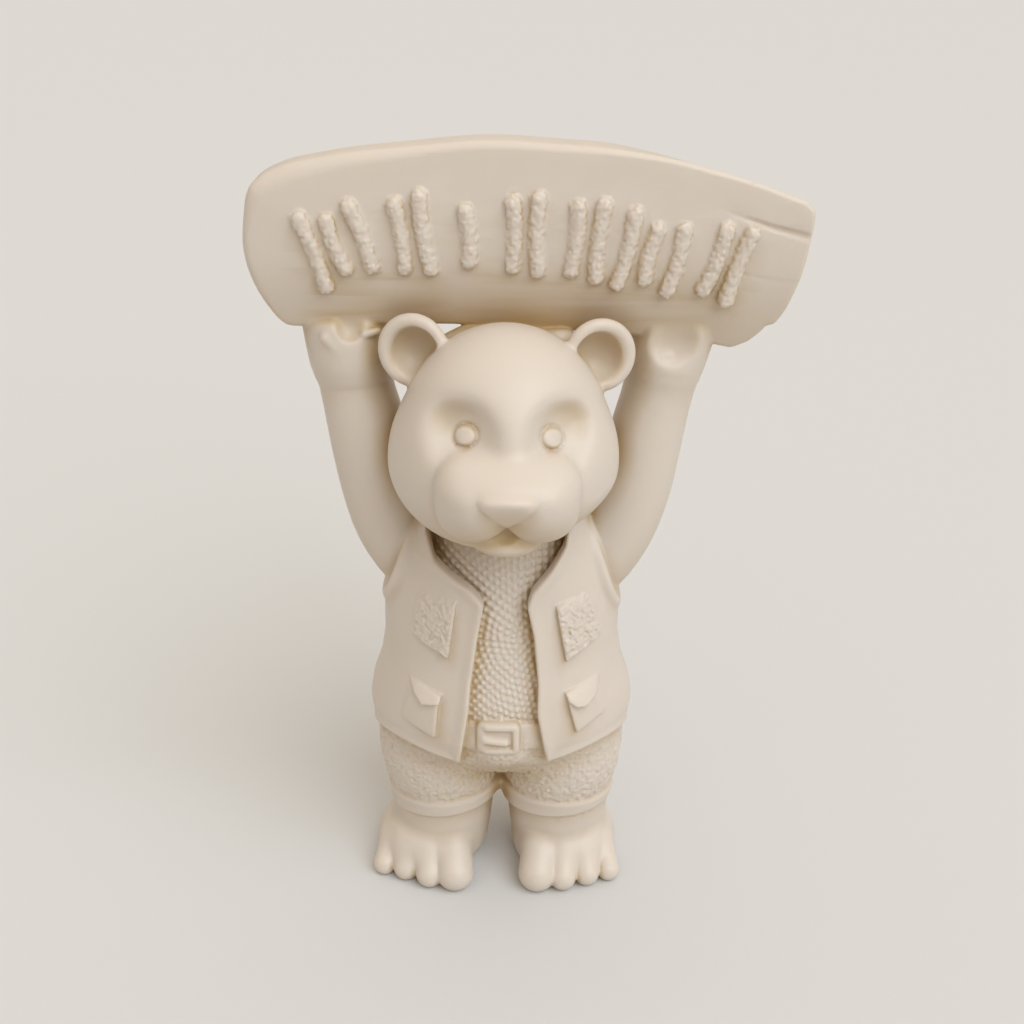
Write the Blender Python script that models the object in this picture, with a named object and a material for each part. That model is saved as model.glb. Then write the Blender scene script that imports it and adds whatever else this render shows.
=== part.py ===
"""A bear statue that stands on two feet and holds a sign board over its head, made in one piece.

Metres, +Z up. The bear looks along -Y and its soles stand on Z = 0. Every size below is in
design millimetres, a 208th of HEIGHT, so the one driving dimension HEIGHT scales the statue.
X, Y and Z in the tables are measured from the bear's middle plane and its soles; the bear's
right side is at -X. Shapes that overlap are fused by voxel remeshing: first the soft masses
of the body, then the clothes, toes, ears and board that lie on them.
"""

import math

import bmesh
import bpy
from mathutils import Euler, Matrix, Vector

HEIGHT = 0.208
MM = HEIGHT / 208

# The bear's middle plane, from the middle of the statue's box.
BEAR_PLACE = (-5.2, 7.77, 0.0)

# Fusing: voxels of the body masses and of the finished bear, and the facets left on the bear.
MASS_VOXEL = 1.4
SKIN_VOXEL = 0.8
BEAR_TRIANGLES = 7800

# Body under the clothes: height, half width, half depth, middle in Y.
BODY = (
    (37, 7.0, 8.0, 4.0),
    (40, 24.0, 15.0, 4.0),
    (43.5, 31.5, 21.5, 3.5),
    (48, 33.0, 24.5, 3.5),
    (56, 33.0, 25.0, 3.5),
    (66, 31.2, 24.2, 3.5),
    (78, 29.2, 22.2, 4.0),
    (90, 27.0, 20.5, 5.2),
    (96, 25.0, 19.0, 6.4),
    (101, 22.0, 17.2, 7.0),
    (108, 18.0, 14.8, 7.4),
    (116, 14.5, 12.2, 6.6),
    (126, 12.0, 11.0, 3.0),
)
BELLY = ((0.0, -8.0, 51.9), (13.0, 15.0, 10.2))
CROTCH = ((-0.3, 4.0, 36.0), (3.0, 7.0, 16.0))
BELT = ((53.6, 62.0), 0.9)
BUCKLE = (-0.9, 59.2, 11.2, 9.4, 1.9, 2.0)

# Outside of the vest from the hem to the neck, in the terms of BODY.
VEST = (
    (46.5, 34.0, 25.4, 4.0),
    (50, 35.3, 26.6, 4.0),
    (56, 36.1, 27.3, 3.5),
    (62, 35.1, 27.1, 3.5),
    (69, 32.7, 26.4, 3.5),
    (77, 31.5, 25.0, 4.0),
    (84, 31.4, 23.9, 4.0),
    (91, 31.0, 22.9, 4.5),
    (99, 29.4, 21.5, 5.0),
    (106, 26.4, 19.6, 5.5),
    (112, 23.0, 17.5, 6.0),
    (118, 20.5, 15.0, 6.5),
)
ARMHOLES = (
    ((-22.2, 7.0, 111.5), (-30.6, 5.5, 87.6)),
    ((22.4, 7.0, 110.5), (30.6, 5.5, 85.6)),
)
ARMHOLE_REACH = 11.4
ARMHOLE_RIM = 1.4
VEST_EMBED = 4.0
VEST_LIP = 0.9
HEM_RISE = 2.0
HEM_ARCH = 4.2

# Front edges of the vest: height and distance from the middle plane, on the bear's right and left.
RIGHT_EDGE = (
    (46, 10.4), (51, 10.4), (66, 8.3), (74, 7.7), (88, 5.8), (96, 4.3),
    (99.5, 7.6), (102, 12.4), (105, 17.0), (111, 19.2), (118, 18.6),
)
LEFT_EDGE = (
    (46, 12.2), (51, 12.2), (66, 9.6), (74, 9.7), (87.5, 8.4), (95.5, 6.6),
    (99, 7.8), (103.5, 12.3), (108.5, 16.1), (113, 16.8), (118, 17.0),
)

# What lies on the vest, by corners in X and Z: two patches, two pockets and their flaps.
PATCHES = (
    ((-21.6, 97.8), (-11.2, 96.6), (-13.2, 82.2), (-23.6, 84.2)),
    ((14.0, 94.8), (22.8, 97.6), (26.4, 83.0), (16.8, 79.4)),
)
POCKETS = (
    ((-24.0, 71.0), (-15.8, 70.0), (-17.0, 57.4), (-26.4, 59.6)),
    ((17.0, 70.4), (25.6, 71.6), (27.6, 61.0), (20.0, 58.4)),
)
FLAPS = (
    ((-24.2, 73.6), (-22.0, 73.6), (-15.2, 70.6), (-16.2, 68.4), (-20.8, 67.4), (-23.0, 69.6)),
    ((16.8, 71.4), (25.4, 74.2), (25.2, 69.0), (22.6, 67.0), (19.8, 67.6), (17.8, 69.4)),
)
PATCH_PROUD = 1.4
POCKET_PROUD = 1.4
FLAP_PROUD = 2.4

# Arms: X, Y, Z and radius of each station from the shoulder to the paw.
RIGHT_ARM = (
    (-16.0, 6.0, 90, 9.0),
    (-23.0, 6.5, 97, 9.8),
    (-28.6, 7.0, 107, 10.2),
    (-32.0, 7.8, 119, 10.2),
    (-34.4, 8.8, 132, 10.1),
    (-36.5, 10.0, 146, 10.1),
    (-37.9, 10.6, 153, 10.9),
    (-39.1, 11.4, 162, 11.0),
)
LEFT_ARM = (
    (16.0, 6.0, 90, 9.0),
    (24.0, 6.5, 96, 9.8),
    (30.0, 7.0, 106, 10.0),
    (33.9, 7.8, 118, 9.9),
    (36.4, 8.8, 131, 9.5),
    (38.8, 10.0, 145, 9.4),
    (40.6, 10.6, 153, 10.1),
    (42.4, 11.4, 161, 10.4),
)
PAW_TOP = 4.0

# Head, which turns and leans a little to the bear's left: middle and radii of its masses.
HEAD_TURN = (0.0, 2.0, 3.3)
HEAD_PIVOT = (0.0, -8.0, 134.0)
SKULL = ((0.2, -9.5, 134.0), (28.2, 27.5, 33.0), 20.6)
BRIDGE = ((-0.2, -29.5, 138.5), (13.5, 14.0, 8.5), 4.5)
LOBES = ((-6.8, -33.0, 134.4), (6.5, -33.0, 134.4))
LOBE_RADII = (9.4, 10.8, 9.4)
CHIN = ((0.0, -29.5, 124.6), (9.5, 9.5, 4.6), 4.6)
NOSE = ((-0.5, -40.2, 139.6), (7.4, 6.2, 4.6), 6.0, 0.2)
MOUTH = ((-0.3, -38.5, 127.6), (7.0, 5.0, 2.0), 2.0)
SOCKET_X = 9.8
SOCKET = ((-32.6, 150.8), (6.6, 5.6, 7.0))
EYE = ((-27.6, 148.7), (2.9, 2.6, 3.4))

# Ridges behind the crown that join it to the ears, in the terms of an arm.
SADDLES = (
    ((-19.5, 0.5, 155.0, 5.0), (-12.5, 2.5, 156.7, 5.0), (-5.0, 3.0, 158.0, 5.2)),
    ((20.5, 0.5, 154.6, 5.4), (14.0, 1.5, 157.8, 5.4), (6.0, 3.0, 158.4, 5.2)),
)

# Ears: X, Y, Z of the cup's middle and the lean of its axis outward, in degrees.
EARS = ((-21.5, -4.0, 160.0, -14.0), (23.2, -4.0, 158.8, 14.0))
EAR_RADII = (6.9, 7.1)
EAR_RIM = 2.05
EAR_BACK = 4.6
EAR_HOLLOW = (5.7, 4.8, 5.9)

# Legs and cuffs.
LEG_X = 16.6
LEG_Y = 3.5
LEG = ((8.0, 13.2), (14.0, 14.0), (20.0, 14.5), (29.0, 14.9), (34.5, 16.5), (41.0, 17.3), (46.5, 16.6))
# Right and left cuff: height at the leg's middle, rise outward and rise forward, of its lower edge and top.
CUFFS = (
    ((21.4, -0.1, 0.065), (28.2, -0.07, 0.0)),
    ((20.9, 0.05, 0.124), (27.3, -0.05, 0.09)),
)
CUFF_RADIUS = 15.4
CUFF_RIM = 0.5

# Feet: middle and radii of the heel and the instep, then each toe from the inner one: root, tip and radius.
FOOT_X = (20.7, 18.8)
FOOT = ((0.0, 4.5, 3.5), (15.4, 15.5, 13.0))
INSTEP = ((-0.5, -1.6, 6.5), (12.6, 10.0, 9.4))
TOES = (
    ((-7.0, -5.0, 11.5), (-7.9, -15.6, 4.0), 5.0),
    ((-0.2, -5.6, 11.8), (-0.4, -15.2, 3.2), 3.75),
    ((6.0, -4.6, 11.2), (6.5, -13.2, 2.9), 3.45),
    ((11.2, -2.6, 9.6), (12.6, -10.8, 2.6), 3.1),
)

# Board: outline from the lower corner at the bear's right, clockwise as seen from in front.
# Each point holds X, Z and how far the face and the back are rounded in from it.
BOARD = (
    (-50.4, 161.6, 1.6, 1.6),
    (-53.1, 161.9, 1.6, 1.6),
    (-55.4, 164.4, 2.0, 1.6),
    (-58.9, 170.6, 2.2, 1.6),
    (-60.9, 176.5, 2.4, 1.6),
    (-61.8, 182.5, 2.8, 1.6),
    (-61.2, 189.0, 3.0, 1.6),
    (-60.6, 193.8, 3.4, 1.8),
    (-59.4, 196.8, 4.0, 2.0),
    (-56.4, 199.4, 4.4, 2.2),
    (-50.4, 202.0, 4.2, 2.4),
    (-36.3, 204.8, 3.2, 2.4),
    (-22.2, 206.3, 2.6, 2.4),
    (-8.0, 207.9, 2.0, 2.8),
    (1.1, 208.0, 1.8, 3.0),
    (10.5, 207.4, 1.8, 3.0),
    (24.5, 206.6, 1.6, 3.0),
    (38.7, 204.6, 1.4, 2.8),
    (56.3, 200.0, 1.2, 3.2),
    (65.8, 196.6, 1.2, 3.2),
    (70.4, 194.7, 1.2, 2.4),
    (72.2, 192.2, 1.2, 1.6),
    (71.7, 186.0, 1.2, 1.6),
    (70.4, 177.0, 1.2, 1.6),
    (67.4, 168.0, 1.2, 1.6),
    (65.2, 164.4, 1.2, 1.6),
    (63.3, 162.6, 1.2, 1.6),
    (60.4, 158.8, 1.2, 1.6),
    (56.2, 156.6, 1.2, 1.6),
    (48.0, 158.6, 1.2, 1.6),
    (35.8, 159.8, 1.2, 1.6),
    (4.0, 162.2, 1.2, 1.6),
    (-14.0, 162.6, 1.4, 1.6),
    (-25.2, 162.2, 1.4, 1.6),
)
BOARD_FRONT = 1.0
BOARD_BACK = 13.0
BOARD_CROWN = 1.0

# Splits in the board's ends: X and Z of the mouth and of the tip.
SPLITS = (
    ((76.0, 185.4), (60.5, 188.4)),
    ((73.0, 174.0), (57.5, 176.0)),
    ((-65.0, 186.4), (-58.2, 184.6)),
    ((-64.0, 171.4), (-57.0, 173.0)),
)
SPLIT_WIDE = 1.4
SPLIT_DEEP = 1.6

# Raised strokes on the board, in groups: X and Z of the middle, lean in degrees and how many.
STROKE_GROUPS = (
    (-39.2, 184.0, -19.0, 3),
    (-21.4, 186.6, -8.0, 2),
    (-8.6, 186.4, -5.0, 1),
    (5.0, 186.8, 0.0, 2),
    (19.4, 185.6, 5.0, 2),
    (34.4, 182.4, 12.0, 3),
    (52.4, 180.4, 17.0, 2),
)
STROKE_LENGTHS = (21.0, 16.0, 19.0)
STROKE_GAP = 6.0
STROKE_BOW = 0.5
STROKE_HALF_WIDTH = 1.7
STROKE_PROUD = 1.4

PLASTIC_COLOUR = (0.73, 0.66, 0.56, 1.0)


def between(stations, height):
    """The values of a table of stations at a height, drawn smoothly from one to the next."""
    for low, high in zip(stations, stations[1:]):
        if height <= high[0]:
            break
    share = min(max((height - low[0]) / (high[0] - low[0]), 0.0), 1.0)
    return [a + (b - a) * share for a, b in zip(low[1:], high[1:])]


def full_turn(steps):
    """Equal angles round one turn."""
    return [2 * math.pi * i / steps for i in range(steps)]


def ellipsoid(bm, middle, radii, lower=None):
    """Adds a closed ball, stretched to its radii; its lower half may have a height of its own."""
    ball = bmesh.ops.create_icosphere(bm, subdivisions=4, radius=1.0)["verts"]
    for vert in ball:
        below = vert.co.z < 0 and lower is not None
        stretch = Vector((radii[0], radii[1], lower if below else radii[2]))
        vert.co = Vector(middle) + vert.co * stretch


def loft(bm, rings):
    """Adds a closed skin over rings of points, with flat ends."""
    loops = [[bm.verts.new(point) for point in ring] for ring in rings]
    for low, high in zip(loops, loops[1:]):
        for i in range(len(low)):
            j = (i + 1) % len(low)
            bm.faces.new((low[i], low[j], high[j], high[i]))
    bm.faces.new(list(reversed(loops[0])))
    bm.faces.new(loops[-1])


def limb(bm, stations, sides=32, tip=None):
    """Adds a tube along stations of X, Y, Z and radius, with a ball at each; tip is the last one's height."""
    for k, (x, y, z, radius) in enumerate(stations):
        last = tip is not None and k == len(stations) - 1
        ellipsoid(bm, (x, y, z), (radius, radius, tip if last else radius), radius)
    for low, high in zip(stations, stations[1:]):
        start, end = Vector(low[:3]), Vector(high[:3])
        turn = (end - start).to_track_quat("Z", "Y").to_matrix()
        rings = []
        for middle, radius in ((start, low[3]), (end, high[3])):
            spokes = [(radius * math.cos(a), radius * math.sin(a), 0.0) for a in full_turn(sides)]
            rings.append([middle + turn @ Vector(spoke) for spoke in spokes])
        loft(bm, rings)


def block(bm, middle, size, turn=(0.0, 0.0, 0.0)):
    """Adds a box by its middle, size and turn in degrees about X, Y and Z."""
    place = Matrix.Translation(Vector(middle)) @ Euler([math.radians(a) for a in turn]).to_matrix().to_4x4()
    bmesh.ops.create_cube(bm, size=1.0, matrix=place @ Matrix.Diagonal((*size, 1.0)))


def made(name, bm):
    """An object of the design-millimetre shapes in bm, with its faces turned outward."""
    bmesh.ops.recalc_face_normals(bm, faces=bm.faces)
    mesh = bpy.data.meshes.new(name)
    bm.to_mesh(mesh)
    bm.free()
    thing = bpy.data.objects.new(name, mesh)
    bpy.context.scene.collection.objects.link(thing)
    return thing


def applied(thing):
    """Turns an object's modifiers into its mesh."""
    graph = bpy.context.evaluated_depsgraph_get()
    mesh = bpy.data.meshes.new_from_object(thing.evaluated_get(graph))
    thing.modifiers.clear()
    thing.data = mesh


def fused(name, parts, voxel, rounds, strength=0.5):
    """One skin round parts that overlap, smoothed by a number of rounds."""
    bm = bmesh.new()
    for part in parts:
        bm.from_mesh(part.data)
        bpy.data.objects.remove(part)
    thing = made(name, bm)
    remesh = thing.modifiers.new("fuse", "REMESH")
    remesh.mode = "VOXEL"
    remesh.voxel_size = voxel
    smooth = thing.modifiers.new("soften", "SMOOTH")
    smooth.factor = strength
    smooth.iterations = rounds
    applied(thing)
    return thing


def combine(thing, tool, operation):
    """Cuts a tool away from an object (DIFFERENCE) or adds it (UNION)."""
    boolean = thing.modifiers.new("combine", "BOOLEAN")
    boolean.operation = operation
    boolean.solver = "EXACT"
    boolean.object = tool
    applied(thing)
    bpy.data.objects.remove(tool)


def ellipse_rings(stations, steps, sides):
    """Level rings of an upright body whose stations hold height, half width, half depth and Y."""
    low, high = stations[0][0], stations[-1][0]
    rings = []
    for k in range(steps + 1):
        height = low + (high - low) * k / steps
        wide, deep, middle = between(stations, height)
        rings.append([(wide * math.sin(a), middle - deep * math.cos(a), height) for a in full_turn(sides)])
    return rings


def body():
    """Trunk, arms and legs as soft masses."""
    bm = bmesh.new()
    loft(bm, ellipse_rings(BODY, 40, 64))
    ellipsoid(bm, *BELLY)
    ellipsoid(bm, *CROTCH)
    limb(bm, RIGHT_ARM, tip=PAW_TOP)
    limb(bm, LEFT_ARM, tip=PAW_TOP)
    for side in (-1, 1):
        limb(bm, [(side * LEG_X, LEG_Y, height, radius) for height, radius in LEG])
    return fused("body", [made("masses", bm)], MASS_VOXEL, 8)


def vest():
    """The open vest: a band round the trunk from one front edge to the other, with lips."""
    steps, sides = 48, 72
    rings = []
    for k in range(steps + 1):
        base = VEST[0][0] + (VEST[-1][0] - VEST[0][0]) * k / steps
        wide, deep, middle = between(VEST, base)
        right = math.asin(between(RIGHT_EDGE, base)[0] / wide)
        left = math.asin(between(LEFT_EDGE, base)[0] / wide)
        outer = []
        inner = []
        for i in range(sides + 1):
            angle = left + (2 * math.pi - right - left) * i / sides
            near_edge = math.exp(-min(i, sides - i) / 1.6)
            near_hem = math.exp(-k / 2.0)
            lip = VEST_LIP * max(near_edge, 0.6 * near_hem)
            facing = max(0.0, math.cos(angle))
            rise = (HEM_RISE * facing + HEM_ARCH * math.sin(math.pi * facing)) * (1 - k / steps) ** 4
            for shift, row in ((lip, outer), (-VEST_EMBED, inner)):
                x = (wide + shift) * math.sin(angle)
                y = middle - (deep + shift) * math.cos(angle)
                row.append((x, y, base + rise))
        rings.append(outer + inner[::-1])
    bm = bmesh.new()
    loft(bm, rings)
    for top, bottom in ARMHOLES:
        top, bottom = Vector(top), Vector(bottom)
        middle, half = (top + bottom) / 2, (top - bottom) / 2
        reach = Vector((0.0, ARMHOLE_REACH, 0.0))
        ring = [middle + half * math.cos(a) + reach * math.sin(a) for a in full_turn(40)]
        limb(bm, [(*point, ARMHOLE_RIM) for point in ring + ring[:1]], 12)
    return made("vest", bm)


def on_vest(x, z, proud):
    """The point of the vest's front at X and Z, moved out by proud."""
    wide, deep, middle = between(VEST, z)
    return (x, middle - (deep + proud) * math.sqrt(1 - (x / (wide + proud)) ** 2), z)


def plate(bm, corners, proud, steps=6):
    """Adds a plate that lies on the vest's front, from its corners in X and Z."""
    corners = [Vector(corner) for corner in corners]
    outline = []
    for start, end in zip(corners, corners[1:] + corners[:1]):
        outline += [start.lerp(end, i / steps) for i in range(steps)]
    middle = sum(outline, Vector((0.0, 0.0))) / len(outline)
    rings = []
    for share, lift in ((0.9, -2.5), (1.0, -2.5), (1.0, proud - 0.4), (0.94, proud), (0.5, proud)):
        points = [middle.lerp(point, share) for point in outline]
        rings.append([on_vest(point.x, point.y, lift) for point in points])
    loft(bm, rings)


def trim():
    """Patches, pockets with their flaps, belt and buckle."""
    bm = bmesh.new()
    for group, proud in ((PATCHES, PATCH_PROUD), (POCKETS, POCKET_PROUD), (FLAPS, FLAP_PROUD)):
        for corners in group:
            plate(bm, corners, proud)
    (low, high), proud = BELT
    rings = []
    for height, lift in ((low, -1.5), (low, proud), (high, proud), (high, -1.5)):
        wide, deep, middle = between(BODY, height)
        wide += lift
        deep += lift
        rings.append([(wide * math.sin(a), middle - deep * math.cos(a), height) for a in full_turn(64)])
    loft(bm, rings)
    x, z, wide, tall, bar, thick = BUCKLE
    front = between(BODY, z)[2] - between(BODY, z)[1] - proud
    for side in (-1, 1):
        block(bm, (x + side * (wide - bar) / 2, front, z), (bar, 2 * thick, tall))
        block(bm, (x, front, z + side * (tall - bar) / 2), (wide, 2 * thick, bar))
    block(bm, (x, front, z), (wide * 0.55, 1.4 * thick, bar * 0.8))
    return made("trim", bm)


def nose(bm):
    """Adds the nose: a ball that narrows to a point below."""
    middle, radii, lower, narrow = NOSE
    ball = bmesh.ops.create_icosphere(bm, subdivisions=4, radius=1.0)["verts"]
    for vert in ball:
        taper = narrow + (1 - narrow) * min(1.0, vert.co.z + 1)
        stretch = Vector((radii[0] * taper, radii[1], lower if vert.co.z < 0 else radii[2]))
        vert.co = Vector(middle) + vert.co * stretch


def head():
    """Skull, muzzle, nose and chin, with the eye sockets and the mouth cut in, and the eyes."""
    bm = bmesh.new()
    for middle, radii, lower in (SKULL, BRIDGE, CHIN):
        ellipsoid(bm, middle, radii, lower)
    for middle in LOBES:
        ellipsoid(bm, middle, LOBE_RADII)
    skull = fused("skull", [made("skull masses", bm)], SKIN_VOXEL, 5)

    hollows = bmesh.new()
    for side in (-1, 1):
        ellipsoid(hollows, (side * SOCKET_X, *SOCKET[0]), SOCKET[1])
    ellipsoid(hollows, *MOUTH)
    combine(skull, made("sockets and mouth", hollows), "DIFFERENCE")
    skull = fused("skull", [skull], SKIN_VOXEL, 3)

    details = bmesh.new()
    nose(details)
    for side in (-1, 1):
        ellipsoid(details, (side * SOCKET_X, *EYE[0]), EYE[1])
    details = made("nose and eyes", details)

    turn = Euler([math.radians(a) for a in HEAD_TURN]).to_matrix().to_4x4()
    pivot = Matrix.Translation(Vector(HEAD_PIVOT))
    for part in (skull, details):
        part.data.transform(pivot @ turn @ pivot.inverted())
    return [skull, details]


def ears():
    """Two cupped ears: a rim all round and a thin back."""
    parts = []
    for x, y, z, lean in EARS:
        bm = bmesh.new()
        for angle in full_turn(32):
            spot = (EAR_RADII[0] * math.cos(angle), 0.0, EAR_RADII[1] * math.sin(angle))
            ellipsoid(bm, spot, (EAR_RIM, EAR_RIM, EAR_RIM))
        ellipsoid(bm, (0.0, 2.0, 0.0), (EAR_RADII[0], EAR_BACK, EAR_RADII[1]))
        ear = fused("ear", [made("ear rim", bm)], SKIN_VOXEL, 2)
        hollow = bmesh.new()
        ellipsoid(hollow, (0.0, -1.2, 0.0), EAR_HOLLOW)
        combine(ear, made("ear hollow", hollow), "DIFFERENCE")
        turn = Euler((math.radians(-6), 0.0, math.radians(lean))).to_matrix().to_4x4()
        ear.data.transform(Matrix.Translation(Vector((x, y, z))) @ turn)
        parts.append(ear)
    return parts


def saddles():
    bm = bmesh.new()
    for stations in SADDLES:
        limb(bm, stations)
    return made("saddles", bm)


def cuffs():
    """Rolled cuffs round the shins, with a light upper rim."""
    bm = bmesh.new()
    for side, (lower, upper) in zip((-1, 1), CUFFS):
        rings = []
        for (level, outward, ahead), shift, grow in (
            (lower, 0.0, -1.2),
            (lower, 0.9, 0.0),
            (upper, -1.2, CUFF_RIM),
            (upper, 0.0, -0.6),
        ):
            ring = []
            for angle in full_turn(48):
                x = (CUFF_RADIUS + grow) * math.cos(angle)
                y = (CUFF_RADIUS + grow) * math.sin(angle)
                z = level + shift + outward * side * x - ahead * y
                ring.append((side * LEG_X + x, LEG_Y + y, z))
            rings.append(ring)
        loft(bm, rings)
    return made("cuffs", bm)


def feet():
    """Broad flat feet with four toes each, the big toe inside."""
    bm = bmesh.new()
    for side, foot_x in zip((-1, 1), FOOT_X):
        for (x, y, z), radii in (FOOT, INSTEP):
            ellipsoid(bm, (side * (foot_x + x), y, z), radii)
        for root, tip, radius in TOES:
            ends = [(side * (foot_x + x), y, z, radius) for x, y, z in (root, tip)]
            limb(bm, ends, 24)
    return made("feet", bm)


def inset(outline, depths):
    """An outline moved inward by a depth at each point."""
    moved = []
    for i, (x, z) in enumerate(outline):
        before, after = outline[i - 1], outline[(i + 1) % len(outline)]
        along = Vector((after[0] - before[0], after[1] - before[1])).normalized()
        moved.append((x + along.y * depths[i], z - along.x * depths[i]))
    return moved


def stroke(bm, middle, lean, length, bow):
    """Adds one raised stroke: a round-ended, slightly bowed bar with a smaller top."""
    along = Vector((math.sin(lean), 0.0, math.cos(lean)))
    across = Vector((math.cos(lean), 0.0, -math.sin(lean)))
    face = BOARD_FRONT - 0.8 * BOARD_CROWN
    rings = []
    for level, half in (
        (2.0, STROKE_HALF_WIDTH),
        (0.5 - STROKE_PROUD, STROKE_HALF_WIDTH),
        (-STROKE_PROUD, STROKE_HALF_WIDTH - 0.7),
    ):
        ring = []
        straight = length / 2 - STROKE_HALF_WIDTH
        for i in range(12):
            angle = 2 * math.pi * (i + 0.5) / 12
            reach = half * math.cos(angle) + math.copysign(straight, math.cos(angle))
            side = half * math.sin(angle) + bow * (1 - (reach / (length / 2)) ** 2)
            ring.append(Vector(middle) + along * reach + across * side + Vector((0.0, face + level, 0.0)))
        for half_turn in (0.25, 0.75):
            spot = int(half_turn * 12) + (1 if half_turn > 0.5 else 0)
            side = half * math.sin(2 * math.pi * half_turn) + bow
            ring.insert(spot, Vector(middle) + across * side + Vector((0.0, face + level, 0.0)))
        rings.append(ring)
    loft(bm, rings)


def strokes():
    """Groups of shallow raised strokes, side by side across the board's face."""
    bm = bmesh.new()
    for x, z, lean, count in STROKE_GROUPS:
        lean = math.radians(lean)
        across = Vector((math.cos(lean), 0.0, -math.sin(lean)))
        for k in range(count):
            length = STROKE_LENGTHS[(k + count) % len(STROKE_LENGTHS)]
            middle = Vector((x, 0.0, z)) + across * STROKE_GAP * (k - (count - 1) / 2)
            stroke(bm, middle, lean, length, STROKE_BOW * (-1) ** k)
    return made("strokes", bm)


def board():
    """The sign board: rings from its crowned face to its back, and split ends."""
    outline = [(x, z) for x, z, _, _ in BOARD]
    face_in = [point[2] for point in BOARD]
    soft_in = [0.4 * depth for depth in face_in]
    back_in = [point[3] for point in BOARD]
    middle = Vector((5.0, 184.0))
    crown = [middle.lerp(Vector(point), 0.6) for point in outline]
    rings = [
        [(x, BOARD_FRONT - BOARD_CROWN, z) for x, z in crown],
        [(x, BOARD_FRONT, z) for x, z in inset(outline, face_in)],
        [(x, BOARD_FRONT + 0.3 * depth, z) for (x, z), depth in zip(inset(outline, soft_in), face_in)],
        [(x, BOARD_FRONT + depth, z) for (x, z), depth in zip(outline, face_in)],
        [(x, BOARD_BACK - depth, z) for (x, z), depth in zip(outline, back_in)],
        [(x, BOARD_BACK, z) for x, z in inset(outline, back_in)],
    ]
    bm = bmesh.new()
    loft(bm, rings)
    plank = made("board", bm)
    slots = bmesh.new()
    for mouth, tip in SPLITS:
        length = math.dist(mouth, tip)
        lean = math.degrees(math.atan2(tip[1] - mouth[1], tip[0] - mouth[0]))
        middle = ((mouth[0] + tip[0]) / 2, BOARD_FRONT, (mouth[1] + tip[1]) / 2)
        block(slots, middle, (length, 2 * SPLIT_DEEP, SPLIT_WIDE), (0.0, -lean, 0.0))
    combine(plank, made("splits", slots), "DIFFERENCE")
    combine(plank, strokes(), "UNION")
    return plank


def plastic():
    material = bpy.data.materials.new("ivory_plastic")
    material.use_nodes = True
    shader = material.node_tree.nodes["Principled BSDF"]
    shader.inputs["Base Color"].default_value = PLASTIC_COLOUR
    shader.inputs["Roughness"].default_value = 0.42
    shader.inputs["Metallic"].default_value = 0.0
    return material


def statue():
    """The bear fused to one skin, with the board added, cut flat at the soles and set in its place."""
    parts = [body(), vest(), trim(), cuffs(), feet(), *head(), *ears(), saddles()]
    whole = fused("bear_with_sign", parts, SKIN_VOXEL, 2, 0.4)
    facets = whole.modifiers.new("facets", "DECIMATE")
    facets.ratio = BEAR_TRIANGLES / sum(len(face.vertices) - 2 for face in whole.data.polygons)
    applied(whole)
    combine(whole, board(), "UNION")

    ground = bmesh.new()
    block(ground, (0.0, 0.0, -25.0), (200.0, 200.0, 50.0))
    combine(whole, made("ground", ground), "DIFFERENCE")

    whole.data.transform(Matrix.Scale(MM, 4) @ Matrix.Translation(Vector(BEAR_PLACE)))
    whole.data.materials.clear()
    whole.data.materials.append(plastic())
    whole.data.shade_smooth()
    whole.data.set_sharp_from_angle(angle=math.radians(40))
    return whole


for thing in list(bpy.data.objects):
    bpy.data.objects.remove(thing)
statue()
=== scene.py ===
"""Looks of the bear statue with a sign: one piece of satin ivory plastic.

The statue is described as a signed distance field: for any point, how far it is from the
surface, negative inside. The field is put together from the same named forms as the CAD solid,
with the finer relief in it: knitting, fur, wrinkled patches, rough strokes, splits and scars. It
is sampled near the surface, turned into a mesh and thinned. Lengths are design millimetres, a
208th of the frame's height, from the bear's middle plane and its soles; the bear's right side
is at -X and it looks along -Y.
"""

import math

import bpy
import numpy as np
import openvdb
from mathutils import Euler, Matrix, Vector


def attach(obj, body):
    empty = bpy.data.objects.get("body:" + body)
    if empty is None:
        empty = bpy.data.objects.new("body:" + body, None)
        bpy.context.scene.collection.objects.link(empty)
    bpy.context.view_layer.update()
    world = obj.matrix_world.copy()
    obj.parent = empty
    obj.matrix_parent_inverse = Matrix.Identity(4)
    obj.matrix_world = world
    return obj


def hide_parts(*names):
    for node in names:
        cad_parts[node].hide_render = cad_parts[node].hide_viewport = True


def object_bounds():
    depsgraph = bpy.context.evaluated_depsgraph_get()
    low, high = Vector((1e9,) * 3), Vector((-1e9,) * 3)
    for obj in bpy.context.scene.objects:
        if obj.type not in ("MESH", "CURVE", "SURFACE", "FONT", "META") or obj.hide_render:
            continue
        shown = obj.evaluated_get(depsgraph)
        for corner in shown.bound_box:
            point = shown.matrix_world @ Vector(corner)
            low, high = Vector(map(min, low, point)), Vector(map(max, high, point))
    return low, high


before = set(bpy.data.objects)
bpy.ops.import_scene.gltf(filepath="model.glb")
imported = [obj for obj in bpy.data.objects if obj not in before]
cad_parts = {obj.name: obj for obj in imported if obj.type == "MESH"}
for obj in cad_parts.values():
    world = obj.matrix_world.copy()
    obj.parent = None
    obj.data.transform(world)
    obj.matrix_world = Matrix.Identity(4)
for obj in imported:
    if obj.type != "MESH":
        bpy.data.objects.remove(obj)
cad_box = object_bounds()

DESIGN_HEIGHT = 208.0
MM = (cad_box[1].z - cad_box[0].z) / DESIGN_HEIGHT
CAD_LOW = np.array(cad_box[0]) / MM
CAD_HIGH = np.array(cad_box[1]) / MM
# The distance that is given where a form is too far away to matter.
FAR = 60.0

# -------- sizes and places of the forms

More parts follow.
